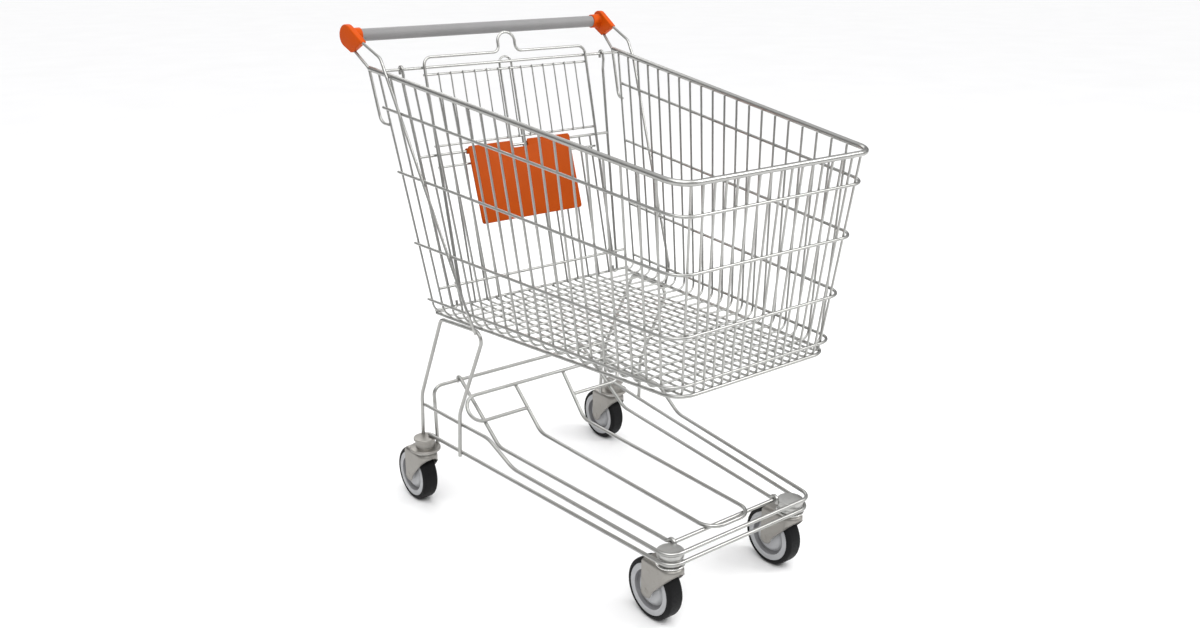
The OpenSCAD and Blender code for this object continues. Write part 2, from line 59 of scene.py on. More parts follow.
# ---- materials -------------------------------------------------------------
def shader(name, metallic, roughness, **constant):
    """A material with object coordinates ready for its noises, and constant sockets set on the shader."""
    mat = bpy.data.materials.new(name)
    mat.use_nodes = True
    tree = mat.node_tree
    bsdf = tree.nodes["Principled BSDF"]
    bsdf.inputs["Metallic"].default_value = metallic
    bsdf.inputs["Roughness"].default_value = roughness
    for socket, value in constant.items():
        bsdf.inputs[socket.replace("_", " ")].default_value = value
    coords = tree.nodes.new("ShaderNodeTexCoord")
    return mat, tree, bsdf, coords.outputs["Object"]


def noise(tree, coords, scale, detail):
    tex = tree.nodes.new("ShaderNodeTexNoise")
    tex.inputs["Scale"].default_value = scale
    tex.inputs["Detail"].default_value = detail
    tree.links.new(coords, tex.inputs["Vector"])
    return tex.outputs["Fac"]


def spread(tree, fac, low, high, start=0.3, end=0.7):
    """Maps a noise's middle range to values from low to high."""
    node = tree.nodes.new("ShaderNodeMapRange")
    node.inputs["From Min"].default_value = start
    node.inputs["From Max"].default_value = end
    node.inputs["To Min"].default_value = low
    node.inputs["To Max"].default_value = high
    tree.links.new(fac, node.inputs["Value"])
    return node.outputs["Result"]


def blend_colours(tree, fac, first, second):
    node = tree.nodes.new("ShaderNodeMix")
    node.data_type = "RGBA"
    for socket, value in ((node.inputs[6], first), (node.inputs[7], second)):
        if isinstance(value, tuple):
            socket.default_value = (*value, 1)
        else:
            tree.links.new(value, socket)
    tree.links.new(fac, node.inputs[0])
    return node.outputs[2]


def bump(tree, bsdf, height, strength, distance):
    node = tree.nodes.new("ShaderNodeBump")
    node.inputs["Strength"].default_value = strength
    node.inputs["Distance"].default_value = distance
    tree.links.new(height, node.inputs["Height"])
    tree.links.new(node.outputs["Normal"], bsdf.inputs["Normal"])


def plated(name, light, dark, rough, grain, dulled=0.9):
    """Plated steel: cloudy brightness, patchy gloss, a fine grain, and faint duller spots from handling."""
    mat, tree, bsdf, coords = shader(name, 1.0, rough[0])
    clouds = spread(tree, noise(tree, coords, 14, 3), 0, 1)
    spots = spread(tree, noise(tree, coords, 120, 4), 0, 1, 0.55, 0.75)
    plain = blend_colours(tree, clouds, light, dark)
    dull = tuple(dulled * c for c in dark)
    tree.links.new(blend_colours(tree, spots, plain, dull), bsdf.inputs["Base Color"])
    tree.links.new(spread(tree, noise(tree, coords, 40, 3), *rough), bsdf.inputs["Roughness"])
    bump(tree, bsdf, noise(tree, coords, 900, 2), grain, 0.0002)
    return mat


def moulded(name, base, tint, rough, grain, scale, **constant):
    """Moulded plastic: a slight drift of colour, a fine leather-like grain and patchy gloss."""
    mat, tree, bsdf, coords = shader(name, 0.0, rough[0], **constant)
    drift = spread(tree, noise(tree, coords, 22, 3), 0, 1)
    tree.links.new(blend_colours(tree, drift, base, tint), bsdf.inputs["Base Color"])
    tree.links.new(spread(tree, noise(tree, coords, 130, 4), *rough), bsdf.inputs["Roughness"])
    bump(tree, bsdf, noise(tree, coords, scale, 3), grain, 0.0003)
    return mat


def rubber(name):
    """Tyre rubber with a film of dust that gathers in patches."""
    mat, tree, bsdf, coords = shader(name, 0.0, 0.6, Specular_IOR_Level=0.16)
    dust = spread(tree, noise(tree, coords, 60, 6), 0, 0.25, 0.5, 0.8)
    shade = blend_colours(tree, dust, (0.005, 0.005, 0.0055), (0.016, 0.0155, 0.015))
    tree.links.new(shade, bsdf.inputs["Base Color"])
    tree.links.new(spread(tree, noise(tree, coords, 300, 4), 0.5, 0.68), bsdf.inputs["Roughness"])
    bump(tree, bsdf, noise(tree, coords, 1800, 3), 0.2, 0.0003)
    return mat


WIRE = plated("bright_zinc_wire", (0.41, 0.41, 0.395), (0.375, 0.375, 0.36), (0.29, 0.33), 0.01)
WELD = plated("weld_zinc", (0.33, 0.325, 0.31), (0.26, 0.255, 0.245), (0.34, 0.46), 0.12)
FORK = plated("fork_zinc", (0.335, 0.322, 0.30), (0.305, 0.294, 0.274), (0.40, 0.47), 0.03, 0.95)
HEAD = plated("head_zinc", (0.53, 0.53, 0.515), (0.49, 0.49, 0.475), (0.38, 0.46), 0.03, 0.95)
RACE = plated("race_bright", (0.70, 0.70, 0.68), (0.64, 0.64, 0.62), (0.18, 0.26), 0.02)
AXLE = plated("axle_zinc", (0.34, 0.325, 0.30), (0.29, 0.28, 0.26), (0.34, 0.42), 0.04)
PANEL = moulded("orange_panel", (0.38, 0.055, 0.0006), (0.35, 0.05, 0.0006), (0.45, 0.55), 0.06, 1100,
                Specular_IOR_Level=0.1)
# painted light: the caps' copy of the orange plastic is lighter than the panel's, standing in for light that the
# lamps don't bring to the caps' faces
CAP_ORANGE_PAINTED_LIGHT = moulded("orange_cap", (0.55, 0.071, 0.0008), (0.51, 0.065, 0.0008), (0.45, 0.55), 0.06, 1100,
                 Specular_IOR_Level=0.1)
GRIP = moulded("grey_grip", (0.235, 0.232, 0.232), (0.22, 0.218, 0.218), (0.48, 0.56), 0.04, 900,
               Specular_IOR_Level=0.35)
HUB = moulded("hub_grey", (0.42, 0.425, 0.435), (0.39, 0.395, 0.405), (0.38, 0.48), 0.05, 800)
# painted shade: a darker grey for the hub's groove, standing in for the shade that gathers there
PAINTED_GROOVE_SHADE = moulded("hub_shadowed_groove", (0.25, 0.25, 0.257), (0.21, 0.21, 0.217), (0.5, 0.6), 0.05, 800)
TYRE = rubber("tyre_rubber")


# ---- mesh helpers ----------------------------------------------------------
def finish_piece(name, bm, mat, body, node=None, flat_angle=35):
    """Turns a mesh in metres into a piece that rides on a body, smooth except at sharp edges."""
    bmesh.ops.recalc_face_normals(bm, faces=bm.faces)
    for face in bm.faces:
        face.smooth = True
    mesh = bpy.data.meshes.new(name)
    bm.to_mesh(mesh)
    bm.free()
    mesh.set_sharp_from_angle(angle=math.radians(flat_angle))
    mesh.materials.append(mat)
    piece = bpy.data.objects.new(name, mesh)
    bpy.context.scene.collection.objects.link(piece)
    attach(piece, body)
    if node:
        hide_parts(node)
    return piece


def rounded(corners, closed=False, steps=6):
    """A 2-D outline in mm through corners (a, b, radius), each corner turned into an arc."""
    points = []
    count = len(corners)
    for i, (a, b, r) in enumerate(corners):
        here = Vector((a, b))
        if r == 0 or (not closed and i in (0, count - 1)):
            points.append(here)
            continue
        back = (Vector(corners[i - 1][:2]) - here).normalized()
        ahead = (Vector(corners[(i + 1) % count][:2]) - here).normalized()
        half = back.angle(ahead) / 2
        middle = here + (back + ahead).normalized() * (r / math.sin(half))
        first = here + back * (r / math.tan(half)) - middle
        sweep = first.angle_signed(here + ahead * (r / math.tan(half)) - middle)
        for k in range(steps + 1):
            turned = first.copy()
            turned.rotate(Matrix.Rotation(-sweep * k / steps, 2))
            points.append(middle + turned)
    return points


def lathe(bm, profile, centre, axis, segments):
    """Revolves (radius, height) points in mm about an axis through centre."""
    turn = Vector((0, 0, 1)).rotation_difference(Vector(axis)).to_matrix().to_4x4()
    place = Matrix.Translation(Vector(centre)) @ turn @ Matrix.Scale(MM, 4)
    rings = []
    for r, h in profile:
        if r < 1e-6:
            rings.append([bm.verts.new(place @ Vector((0, 0, h)))])
            continue
        angles = [2 * math.pi * k / segments for k in range(segments)]
        rings.append([bm.verts.new(place @ Vector((r * math.cos(a), r * math.sin(a), h))) for a in angles])
    for low, high in zip(rings, rings[1:]):
        for k in range(segments):
            j = (k + 1) % segments
            quad = [low[k % len(low)], low[j % len(low)], high[j % len(high)], high[k % len(high)]]
            unique = list(dict.fromkeys(quad))
            if len(unique) > 2:
                bm.faces.new(unique)


def slab(bm, outline, depth, edges, place, steps=4):
    """A closed outline in mm given a thickness, its edges rounded by edges[0] below and edges[1] above."""
    count = len(outline)
    area = sum(p.cross(outline[(i + 1) % count]) for i, p in enumerate(outline))
    sign = 1 if area > 0 else -1
    normals = []
    for i, p in enumerate(outline):
        a = (p - outline[i - 1]).normalized()
        b = (outline[(i + 1) % count] - p).normalized()
        n = Vector((a.y + b.y, -a.x - b.x)) * sign
        normals.append(n / max(n.length_squared / 2, 0.5))
    layers = []
    for k in range(steps + 1):
        angle = math.pi / 2 * k / steps
        layers.append((edges[0] * (1 - math.sin(angle)), edges[0] * (1 - math.cos(angle))))
    for k in range(steps + 1):
        angle = math.pi / 2 * (1 - k / steps)
        layers.append((edges[1] * (1 - math.sin(angle)), depth - edges[1] * (1 - math.cos(angle))))
    rings = []
    for inset, height in layers:
        points = [p - n * inset for p, n in zip(outline, normals)]
        rings.append([bm.verts.new(place @ Vector((p.x, p.y, height))) for p in points])
    for low, high in zip(rings, rings[1:]):
        for k in range(count):
            j = (k + 1) % count
            bm.faces.new([low[k], low[j], high[j], high[k]])
    bm.faces.new(rings[0])
    bm.faces.new(rings[-1])


def basis(origin, first, second, third):
    """A matrix from slab axes in mm to the frame in metres."""
    rows = Matrix([[v[i] for v in (first, second, third)] for i in range(3)]).to_4x4()
    return Matrix.Translation(Vector(origin)) @ rows @ Matrix.Scale(MM, 4)


def middle_of(node):
    low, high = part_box(node)
    return (low + high) / 2


# ---- casters ---------------------------------------------------------------
WHEEL_R = 62.5
TYRE_HALF = 18.5
TREAD_SHOULDER = 8
CORE_R = 53
BORE_R = 6.05         # of the wheel, on its axle
AXLE_R = 5.98
# the band of the hub's face, between these distances from the axle, that gets the painted groove shade
GROOVE_SHADE_FROM = 33 * MM
GROOVE_SHADE_TO = 40.5 * MM
PROUD = 0.4           # how far the axle's end stands out of a cheek
NUT_R = 9.5
NUT_T = 4.2
CHEEK = 24.5          # from the fork's middle to a cheek's outer face
SHEET = 2.5
CROWN_Z = 130.5
SKIRT_Z = 119.5       # the fork's lower edge in front
BOW = (10, 83)        # bends the fork's front edge: y and z of a curve's control point
FORK_FRONT = -28
FORK_REAR = 54
SHOULDER = 9
STRAIGHT = 0.62       # the share of the fork's plan that is its straight cheek
LIP = [(-0.9, 0), (-0.45, 0.9), (0, 2.2)]   # inset and rise of the lip along the fork's lower edge
REAR_SHARE = 0.2      # the share of the plan whose top corner is rounded off
REAR_CUT = 4.5
FORK_STRIPS = 44      # strips over the whole plan, before the tip gets its own
TIP_STRIPS = 12
FORK_ROWS = 7         # rows of the upright wall
SHOULDER_ROWS = 6
TRAIL = 41
TIP_R = 14
PIN_R = 6
PIN_TOP = 148
RING_LOW = 136        # the head's bearing ring
RING_HIGH = 141.5


def make_tyre(corner, centre, roller_body):
    low, high = -TYRE_HALF, TYRE_HALF
    profile = rounded([
        (CORE_R - 0.3, low + 0.4, 0), (CORE_R + 1.2, low, 0.6), (WHEEL_R, low, TREAD_SHOULDER),
        (WHEEL_R, high, TREAD_SHOULDER), (CORE_R + 1.2, high, 0.6), (CORE_R - 0.3, high - 0.4, 0),
    ], steps=10)
    bm = bmesh.new()
    lathe(bm, profile, centre, (1, 0, 0), 128)
    finish_piece(f"tyre_{corner}_rubber", bm, TYRE, roller_body, f"tyre_{corner}")


def make_wheel(corner, centre, roller_body):
    """The moulded core: a rim band, a groove, a dished disc and a raised boss, the same on both faces; the groove
    gets painted shade.
    """
    w = TYRE_HALF - 0.6
    boss = CHEEK - SHEET - 0.7
    # distance from the axle, distance from the wheel's middle, rounding
    face = [(BORE_R, boss, 0), (12, boss, 1.2), (13.2, w - 1.2, 1.6), (28, w - 3, 8), (35.6, w - 10, 2.6),
            (39.6, w - 10.4, 1.2), (40.4, w - 0.2, 1.4), (CORE_R - 0.6, w - 0.4, 0.8),
            (CORE_R - 0.2, w - 2, 0)]
    near = [(r, -h, c) for r, h, c in reversed(face)]
    outline = rounded(face, steps=5) + rounded(near, steps=5) + [Vector((BORE_R, boss))]
    bm = bmesh.new()
    lathe(bm, outline, centre, (1, 0, 0), 128)
    piece = finish_piece(f"wheel_{corner}_core", bm, HUB, roller_body, f"wheel_{corner}")
    # painted shade: the groove's faces between these radii get the darker grey
    piece.data.materials.append(PAINTED_GROOVE_SHADE)
    for face in piece.data.polygons:
        out = face.center - centre
        if GROOVE_SHADE_FROM < math.hypot(out.y, out.z) < GROOVE_SHADE_TO:
            face.material_index = 1


def make_axle(corner, centre, caster_body):
    """A bolt: a flush end with two pips on one cheek and a chamfered hexagonal nut on the other."""
    reach = CHEEK + PROUD
    far = reach + 3
    bm = bmesh.new()
    shaft = [(0, -reach, 0), (AXLE_R, -reach, 0.5), (AXLE_R, far, 0.9), (0, far, 0)]
    lathe(bm, rounded(shaft, steps=4), centre, (1, 0, 0), 48)
    turns = [math.radians(60 * k) for k in range(6)]
    nut = rounded([(NUT_R * math.cos(a), NUT_R * math.sin(a), 0.4) for a in turns], closed=True, steps=2)
    place = basis(centre + Vector(((CHEEK + 0.1) * MM, 0, 0)), (0, 1, 0), (0, 0, 1), (1, 0, 0))
    slab(bm, nut, NUT_T, (0.3, 1.0), place)
    pip = [Vector((1.3, 0.3)), Vector((1.1, -0.3)), Vector((0.6, -0.6)), Vector((0, -0.7))]
    for height in (-2.2, 2.2):
        at = centre + Vector(((-reach - 0.1) * MM, -1.5 * MM, height * MM))
        lathe(bm, pip, at, (1, 0, 0), 16)
    finish_piece(f"axle_{corner}_bolt", bm, AXLE, caster_body, f"axle_{corner}")


def fork_low(y):
    """Height of the fork's lower edge at y: a round tip at the axle, then a curve up to the front."""
    tip_front = TRAIL - TIP_R
    if y >= tip_front:
        over = min(abs(y - TRAIL), TIP_R)
        return WHEEL_R - math.sqrt(TIP_R ** 2 - over ** 2)
    # the curve's share t at y, then its height there
    a = tip_front - 2 * BOW[0] + FORK_FRONT
    b = 2 * (BOW[0] - tip_front)
    t = (-b - math.sqrt(b * b - 4 * a * (tip_front - y))) / (2 * a)
    return (1 - t) ** 2 * WHEEL_R + 2 * t * (1 - t) * BOW[1] + t * t * SKIRT_Z


def fork_plan(u, inset):
    """A point of the fork's plan: u from 0 at the rear edge of a cheek to 1 at the middle of the front."""
    half = CHEEK - inset
    turn_y = FORK_FRONT + CHEEK
    if u <= STRAIGHT:
        return half, FORK_REAR + (turn_y - FORK_REAR) * u / STRAIGHT
    angle = math.pi / 2 * (u - STRAIGHT) / (1 - STRAIGHT)
    return half * math.cos(angle), turn_y - half * math.sin(angle)


def fork_column(u):
    """One strip of the pressed sheet: up from its lip over the wall and the shoulder to the crown."""
    foot = fork_low(fork_plan(u, 0)[1])
    wall = [(inset, foot + rise) for inset, rise in LIP]
    start = wall[-1][1]
    row = (CROWN_Z - SHOULDER - start) / FORK_ROWS
    wall += [(0, start + row * k) for k in range(1, FORK_ROWS + 1)]
    for k in range(1, SHOULDER_ROWS + 1):
        angle = math.pi / 2 * k / SHOULDER_ROWS
        wall.append((SHOULDER * (1 - math.cos(angle)), CROWN_Z - SHOULDER * (1 - math.sin(angle))))
    points = []
    for inset, z in wall:
        x, y = fork_plan(u, inset)
        if u < REAR_SHARE:
            up = max(0, z - (CROWN_Z - SHOULDER)) / SHOULDER
            y -= REAR_CUT * up ** 2 * (1 - u / REAR_SHARE)
        points.append((x, y, z))
    return points


def fork_shares():
    """Where the strips stand: even ones, and closer ones where the round tip's edge is steep."""
    cheek = FORK_REAR - FORK_FRONT - CHEEK
    tip_y = [TRAIL + TIP_R * math.cos(math.pi * k / TIP_STRIPS) for k in range(TIP_STRIPS + 1)]
    tip = [STRAIGHT * (FORK_REAR - y) / cheek for y in tip_y]
    even = [k / FORK_STRIPS for k in range(FORK_STRIPS + 1)]
    shares = [u for u in even if u > max(tip) + 0.01] + [max(u, 0) for u in tip]
    return sorted({round(u, 6) for u in shares})


def make_fork(corner, origin, caster_body):
    """A pressed fork: two cheeks and a round front in one sheet, with a lip along its lower edge."""
    place = Matrix.Translation(origin) @ Matrix.Scale(MM, 4)
    strips = [fork_column(u) for u in fork_shares()]
    bm = bmesh.new()
    left = [[bm.verts.new(place @ Vector((-x, y, z))) for x, y, z in s] for s in strips]
    right = [[bm.verts.new(place @ Vector((x, y, z))) for x, y, z in s] for s in strips[:-1]] + [left[-1]]
    for half in (left, right):
        for a, b in zip(half, half[1:]):
            for k in range(len(a) - 1):
                bm.faces.new([a[k], b[k], b[k + 1], a[k + 1]])
    for k in range(len(strips) - 2):
        bm.faces.new([left[k][-1], left[k + 1][-1], right[k + 1][-1], right[k][-1]])
    bm.faces.new([left[-2][-1], left[-1][-1], right[-2][-1]])
    bmesh.ops.remove_doubles(bm, verts=bm.verts, dist=1e-6)
    piece = finish_piece(f"fork_{corner}_sheet", bm, FORK, caster_body, f"fork_{corner}", 50)
    thick = piece.modifiers.new("sheet", "SOLIDIFY")
    thick.thickness = SHEET * MM
    thick.offset = -1
    soft = piece.modifiers.new("edges", "BEVEL")
    soft.width = 0.5 * MM
    soft.segments = 2
    soft.limit_method = "ANGLE"
    soft.angle_limit = math.radians(50)
    stem = bmesh.new()
    foot = CROWN_Z - 2
    pin = rounded([(0, foot, 0), (PIN_R, foot, 0), (PIN_R, PIN_TOP, 0.8), (0, PIN_TOP, 0)], steps=3)
    lathe(stem, pin, origin, (0, 0, 1), 40)
    finish_piece(f"fork_{corner}_pin", stem, AXLE, caster_body)


def make_race(corner, origin, caster_body):
    """The bright pressed ring that holds the bearing balls, on the fork's crown."""
    bm = bmesh.new()
    low, high, inner = CROWN_Z + 0.1, CROWN_Z + 4.8, PIN_R + 0.1
    profile = rounded([(inner, low, 0), (26.4, low, 0.6), (30, high, 1.5), (inner, high, 0)], steps=5)
    lathe(bm, profile + [profile[0]], origin, (0, 0, 1), 96)
    finish_piece(f"race_{corner}_ring", bm, RACE, caster_body, f"race_{corner}")


def make_head(corner, origin, ring_r, neck_r, disc, mat):
    """The fixed head: the upper bearing ring, the neck and the round plate among the chassis wires."""
    disc_r, disc_low, disc_high = disc
    bm = bmesh.new()
    profile = rounded([
        (PIN_R + 0.06, RING_LOW, 0), (ring_r, RING_LOW, 1), (ring_r, RING_HIGH, 1.8),
        (neck_r, RING_HIGH + 1.1, 0.6), (neck_r, disc_low - 0.6, 1),
        (disc_r, disc_low, 0.9), (disc_r, disc_high, 1.3), (0, disc_high, 0),
    ], steps=5)
    lathe(bm, profile, origin, (0, 0, 1), 96)
    finish_piece(f"head_{corner}_turned", bm, mat, "trolley", f"head_{corner}")


# radius of the bearing ring and of the neck; the plate's radius, underside and top; material
HEADS = {"front": (24, 22, (26.3, 149.8, 160.5), HEAD), "rear": (34.5, 21.5, (25.4, 160, 165.3), FORK)}
for corner in CORNERS:
    swivel = Vector(JOINT[f"swivel_{corner}"]["pos_m"])
    origin = Vector((swivel.x, swivel.y, 0))
    hub = middle_of(f"tyre_{corner}")
    make_tyre(corner, hub, f"roller_{corner}")
    make_wheel(corner, hub, f"roller_{corner}")
    make_axle(corner, hub, f"caster_{corner}")
    make_fork(corner, origin, f"caster_{corner}")
    make_race(corner, origin, f"caster_{corner}")
    make_head(corner, origin, *HEADS[corner.split("_")[0]])


# ---- handle caps -----------------------------------------------------------
CAP_R = 23.4
CAP_FLAT = 36.6       # from the handle's axis to the cap's flat end
CAP_BACK = -0.9
CAP_FORE = 50.9
CAP_TILT = math.radians(27.3)
CAP_TOE = math.radians(5.5)
CAP_MID = 333.75      # the middle of the cap's thickness, from the trolley's middle
CAP_T = 12.5
COLLAR_AT = 305.2     # the collar's near end
COLLAR_END = 330
COLLAR_R = 15.5
HANDLE_R = 13.1


def touch_angle(a, b, sign):
    """Where a line from the point (a, b) touches the cap's round part, on one side or the other."""
    return math.atan2(b, a) + sign * math.acos(CAP_R / math.hypot(a, b))


def cap_outline():
    """The cap from the side: round about the handle, straight flanks, a flat end with rounded corners."""
    start = touch_angle(CAP_FORE, CAP_FLAT, -1)
    end = touch_angle(CAP_BACK, CAP_FLAT, 1) - 2 * math.pi
    arc = [start + (end - start) * k / 40 for k in range(41)]
    round_part = [Vector((CAP_R * math.cos(a), CAP_R * math.sin(a))) for a in arc]
    last, first = round_part[-1], round_part[0]
    corners = [(last.x, last.y, 0), (CAP_BACK, CAP_FLAT, 3), (CAP_FORE, CAP_FLAT, 3), (first.x, first.y, 0)]
    return round_part + rounded(corners)[1:-1]


def make_cap(side, sign):
    """A moulded cap: a collar round the handle and a flat hand-shaped plate that the wires plug into."""
    axis = middle_of("handle_tube")
    axis.x = 0
    toe = Matrix.Rotation(-sign * CAP_TOE, 3, "Z")
    forward = toe @ Vector((0, -math.cos(CAP_TILT), math.sin(CAP_TILT)))
    down = toe @ Vector((0, -math.sin(CAP_TILT), -math.cos(CAP_TILT)))
    out = toe @ Vector((sign, 0, 0))
    bm = bmesh.new()
    start = axis + Vector((sign * CAP_MID * MM, 0, 0)) - out * (CAP_T / 2 * MM)
    slab(bm, cap_outline(), CAP_T, (1.2, 3.0), basis(start, forward, down, out), steps=6)
    sleeve = rounded([
        (HANDLE_R, COLLAR_AT, 0), (COLLAR_R, COLLAR_AT, 1.2), (COLLAR_R, COLLAR_END - 5, 2),
        (COLLAR_R + 3, COLLAR_END, 0), (HANDLE_R, COLLAR_END, 0),
    ], steps=5)
    lathe(bm, sleeve + [sleeve[0]], axis, (sign, 0, 0), 72)
    finish_piece(f"cap_{side}_moulding", bm, CAP_ORANGE_PAINTED_LIGHT, "trolley", f"cap_{side}", 40)


for side, sign in SIDES.items():
    make_cap(side, sign)


# ---- child seat panel ------------------------------------------------------
PLATE_HALF = 135
PLATE_UP = 10
PLATE_DOWN = 161
PLATE_T = 4
PLATE_GAP = 4
PLATE_LEAN = math.radians(12.13 + 5.12)   # the flap's lean and the plate's own
NOTCH_HALF = 19.5
NOTCH_LOW = -6
PEG = (-128, 8 - PLATE_DOWN)   # across and up the plate, from the middle of its hinge
BAR_R = 3
CLIP_X = (27, 132)
CLIP_W = 12
CLIP_SLOT = (1.2, -5.88)   # where the clip's block ends, below the opening for the bar


def clip_outline():
    """A clip from the side: a block on the plate's rear face that runs on round the bar."""
    bore, outer = BAR_R + 0.06, BAR_R + 3
    around = [math.radians(-66.8 - 334 * k / 28) for k in range(29)]
    shell = [math.radians(-19.5 + 109.5 * k / 10) for k in range(11)]
    outline = [Vector((-PLATE_GAP - 1, -outer)), Vector((0, -outer)), Vector(CLIP_SLOT)]
    outline += [Vector((bore * math.cos(a), bore * math.sin(a))) for a in around]
    outline += [Vector((outer * math.cos(a), outer * math.sin(a))) for a in shell]
    return outline + [Vector((-PLATE_GAP - 1, outer))]


def make_plate():
    """The folding seat panel: a thin moulded plate with a notch, four clips round the bar and a peg."""
    up = Vector((0, math.sin(PLATE_LEAN), math.cos(PLATE_LEAN)))
    back = Vector((0, math.cos(PLATE_LEAN), -math.sin(PLATE_LEAN)))
    origin = Vector(JOINT["seat_panel_lift"]["pos_m"])
    origin.x = 0
    bm = bmesh.new()
    outline = rounded([
        (-PLATE_HALF, -PLATE_DOWN, 6), (PLATE_HALF, -PLATE_DOWN, 6), (PLATE_HALF, PLATE_UP, 4),
        (NOTCH_HALF, PLATE_UP, 2.5), (NOTCH_HALF, NOTCH_LOW, 3), (-NOTCH_HALF, NOTCH_LOW, 3),
        (-NOTCH_HALF, PLATE_UP, 2.5), (-PLATE_HALF, PLATE_UP, 5),
    ], closed=True)
    face = origin - back * (PLATE_GAP * MM)
    slab(bm, outline, PLATE_T, (1.0, 1.5), basis(face, (1, 0, 0), up, -back))
    peg = face + Vector((PEG[0] * MM, 0, 0)) + up * (PEG[1] * MM)
    lathe(bm, rounded([(4.6, 3.5, 0), (4, 5.2, 1), (4, 8, 1.2), (0, 8, 0)]), peg, -back, 32)
    for x in [s * c for s in (-1, 1) for c in CLIP_X]:
        end = origin + Vector(((x - CLIP_W / 2) * MM, 0, 0))
        slab(bm, clip_outline(), CLIP_W, (0.5, 0.5), basis(end, back, up, (1, 0, 0)), steps=2)
    finish_piece("seat_panel_moulding", bm, PANEL, "seat_panel", "seat_plate", 40)


make_plate()


# ---- welds -----------------------------------------------------------------
WIRE_WORDS = ("wire", "rim", "hoop", "frame", "bar", "brace", "bracket", "chassis", "arch", "tray")
BEAD_SWELL = 0.75 * MM   # a bead reaches past its crossing by this much
BEAD_LONG = 4 * MM       # the most that a bead reaches along and across its crossing
BEAD_WIDE = 3 * MM
BEAD_HIGH = 1.05 * MM
BEAD_APART = 7 * MM      # points closer than this belong to one bead
NEAR_CELLS = [(x, y, z) for x in (-1, 0, 1) for y in (-1, 0, 1) for z in (-1, 0, 1)]


def triangles(node):
    mesh = NODES[node].data
    mesh.calc_loop_triangles()
    points = [v.co.copy() for v in mesh.vertices]
    return points, [tuple(t.vertices) for t in mesh.loop_triangles]


def edge_hits(corners, tri):
    """Where the edges of one triangle pass through another."""
    for k in range(3):
        a, b = corners[k], corners[(k + 1) % 3]
        ray = b - a
        hit = intersect_ray_tri(tri[0], tri[1], tri[2], ray, a, True)
        if hit and (hit - a).dot(ray) <= ray.length_squared:
            yield hit


def joins(first, second, meshes):
    """Groups of points where two wires' surfaces cross, one group for each weld."""
    (pa, ta, tree_a), (pb, tb, tree_b) = meshes[first], meshes[second]
    groups = []
    cells = {}
    for i, j in tree_a.overlap(tree_b):
        a, b = [pa[v] for v in ta[i]], [pb[v] for v in tb[j]]
        normal = (a[1] - a[0]).cross(a[2] - a[0]).normalized()
        for hit in [*edge_hits(a, b), *edge_hits(b, a)]:
            home = [math.floor(c / BEAD_APART) for c in hit]
            around = (cells.get((home[0] + x, home[1] + y, home[2] + z), ()) for x, y, z in NEAR_CELLS)
            near = next((g for cell in around for g in cell if (g[0][0] - hit).length < BEAD_APART), None)
            if near is None:
                near = []
                groups.append(near)
                cells.setdefault(tuple(home), []).append(near)
            near.append((hit, normal))
    return groups


def drop_shape():
    """Points and faces of a unit sphere, the start of each drop."""
    bm = bmesh.new()
    bmesh.ops.create_uvsphere(bm, u_segments=10, v_segments=6, radius=1)
    shape = [v.co.copy() for v in bm.verts], [[v.index for v in f.verts] for f in bm.faces]
    bm.free()
    return shape


def bead(group):
    """The matrix that turns a unit sphere into a flattened drop of weld metal round one crossing."""
    centre = sum((hit for hit, _ in group), Vector()) / len(group)
    normal = sum((n for _, n in group), Vector())
    if normal.length < 1e-6:
        return None
    normal.normalize()
    reach = max((hit - centre).length for hit, _ in group)
    far = max(group, key=lambda item: (item[0] - centre).length)[0] - centre
    along = far - normal * far.dot(normal)
    along = along.normalized() if along.length > 1e-6 else normal.orthogonal().normalized()
    across = normal.cross(along)
    width = max(abs((hit - centre).dot(across)) for hit, _ in group)
    size = min(reach, BEAD_LONG) + BEAD_SWELL, min(width, BEAD_WIDE) + BEAD_SWELL
    scale = Matrix.Diagonal((*size, BEAD_HIGH, 1))
    turn = Matrix([[v[i] for v in (along, across, normal)] for i in range(3)]).to_4x4()
    return Matrix.Translation(centre) @ turn @ scale


def make_welds():
    pairs = [tuple(p) for p in frame["record"]["behaviour"]["press_fits"]]
    pairs = [p for p in pairs if all(any(w in n for w in WIRE_WORDS) for n in p)]
    meshes = {}
    for node in sorted({n for p in pairs for n in p}):
        points, tris = triangles(node)
        meshes[node] = (points, tris, BVHTree.FromPolygons(points, tris))
    by_body = {}
    for a, b in pairs:
        by_body.setdefault(BODY_OF[a], []).extend(joins(a, b, meshes))
    drop_points, drop_faces = drop_shape()
    for body, groups in by_body.items():
        points, faces = [], []
        for place in filter(None, map(bead, groups)):
            faces += [[len(points) + v for v in face] for face in drop_faces]
            points += [place @ p for p in drop_points]
        if points:
            lumps = bpy.data.meshes.new("lumps")
            lumps.from_pydata(points, [], faces)
            bm = bmesh.new()
            bm.from_mesh(lumps)
            bpy.data.meshes.remove(lumps)
            finish_piece(f"welds_{body}", bm, WELD, body, flat_angle=180)


make_welds()

# ---- materials of the CAD nodes that stay ----------------------------------
KEPT = {"wire": WIRE, "handle": GRIP, "fork": FORK, "race": RACE, "wheel": HUB, "tyre": TYRE,
        "orange_plastic": CAP_ORANGE_PAINTED_LIGHT}
for node in NODES.values():
    for slot in node.material_slots:
        slot.material = KEPT[slot.material.name.split(".")[0]]


# ---- floor, light and camera ----------------------------------------------
FLOOR_SIZE = 80
SKY = [(0.0, 0.26), (0.3, 0.24), (0.5, 0.7), (0.85, 1.2)]   # height in the sky and brightness there
SKY_STRENGTH = 0.85
CAMERA_AT = (-1.419, -1.76421, 1.2545)
CAMERA_DOWN = 18.71   # degrees below level
CAMERA_TURN = 38.33   # degrees to the right of looking straight back
CAMERA_LENS = 34.0


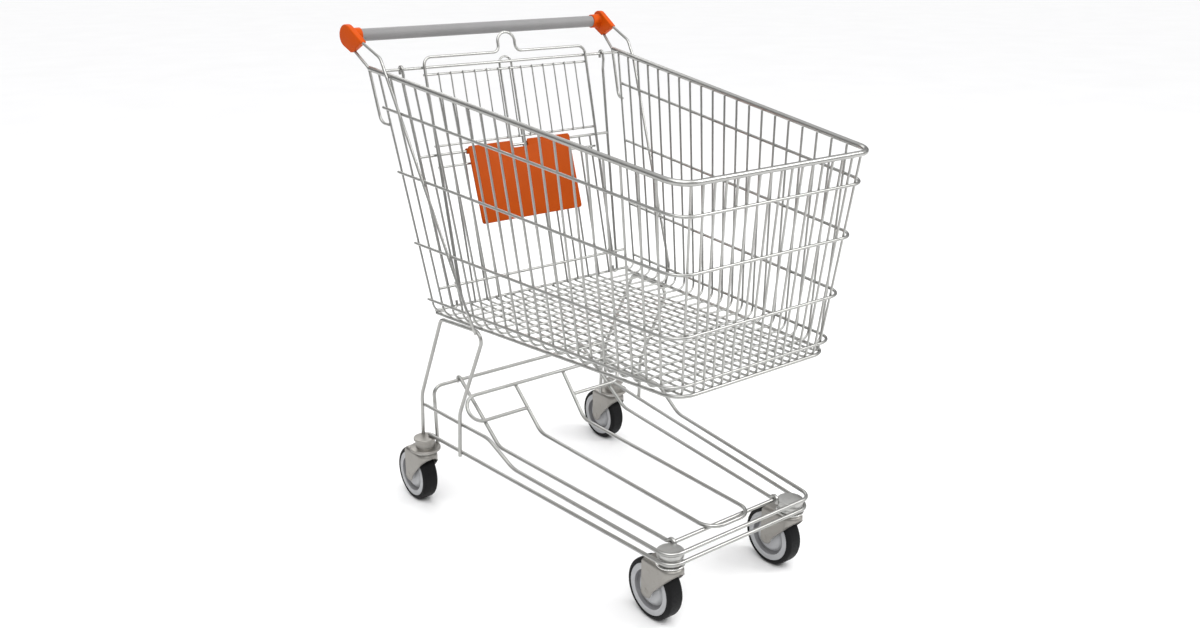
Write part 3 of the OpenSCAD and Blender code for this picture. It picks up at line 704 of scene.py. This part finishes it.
def make_floor():
    mat, tree, bsdf, coords = shader("studio_floor", 0.0, 0.7)
    shade = spread(tree, noise(tree, coords, 2, 2), 0, 1)
    paint = blend_colours(tree, shade, (0.86, 0.86, 0.86), (0.84, 0.84, 0.84))
    tree.links.new(paint, bsdf.inputs["Base Color"])
    bpy.ops.mesh.primitive_plane_add(size=FLOOR_SIZE, location=(0, 0, 0))
    floor = bpy.context.object
    floor.name = "studio_floor"
    floor.data.materials.append(mat)


def make_world():
    """A white studio: bright overhead and greyer round the horizon, for bare metal to reflect."""
    world = bpy.data.worlds.new("studio")
    bpy.context.scene.world = world
    world.use_nodes = True
    tree = world.node_tree
    coords = tree.nodes.new("ShaderNodeTexCoord")
    split = tree.nodes.new("ShaderNodeSeparateXYZ")
    ramp = tree.nodes.new("ShaderNodeValToRGB")
    tree.links.new(coords.outputs["Generated"], split.inputs["Vector"])
    tree.links.new(split.outputs["Z"], ramp.inputs["Fac"])
    stops = ramp.color_ramp.elements
    stops[0].position = SKY[0][0]
    stops[1].position = SKY[-1][0]
    for height, _ in SKY[1:-1]:
        stops.new(height)
    for stop, (_, level) in zip(stops, SKY):
        stop.color = (level, level, level * 1.01, 1)
    background = tree.nodes["Background"]
    tree.links.new(ramp.outputs["Color"], background.inputs["Color"])
    background.inputs["Strength"].default_value = SKY_STRENGTH


def softbox(name, place, aim, size, power):
    light = bpy.data.lights.new(name, "AREA")
    light.shape = "RECTANGLE"
    light.size, light.size_y = size
    light.energy = power
    lamp = bpy.data.objects.new(name, light)
    lamp.location = place
    lamp.rotation_euler = (Vector(aim) - Vector(place)).to_track_quat("-Z", "Y").to_euler()
    bpy.context.scene.collection.objects.link(lamp)


def soft_sun(tilt, turn, angle, power):
    light = bpy.data.lights.new("overhead", "SUN")
    light.energy = power
    light.angle = math.radians(angle)
    lamp = bpy.data.objects.new("overhead", light)
    lamp.rotation_euler = (math.radians(tilt), 0, math.radians(turn))
    bpy.context.scene.collection.objects.link(lamp)


def make_camera():
    data = bpy.data.cameras.new("photo_view")
    data.lens = CAMERA_LENS
    data.sensor_width = 36.0
    data.clip_end = 200
    camera = bpy.data.objects.new("photo_view", data)
    camera.location = CAMERA_AT
    camera.rotation_euler = (math.radians(90 - CAMERA_DOWN), 0, math.radians(-CAMERA_TURN))
    bpy.context.scene.collection.objects.link(camera)
    bpy.context.scene.camera = camera


make_floor()
make_world()
softbox("key", (-1.6, -2.4, 3.4), (0, 0, 0.6), (2.6, 2.0), 36)
softbox("cross", (2.3, -2.4, 3.0), (0, 0, 0.6), (1.6, 2.2), 74)
softbox("back", (0.8, 3.4, 2.8), (0, 0, 0.7), (3.0, 1.6), 36)
soft_sun(22, -30, 60, 1.5)
make_camera()
bpy.context.scene.view_settings.view_transform = "Standard"
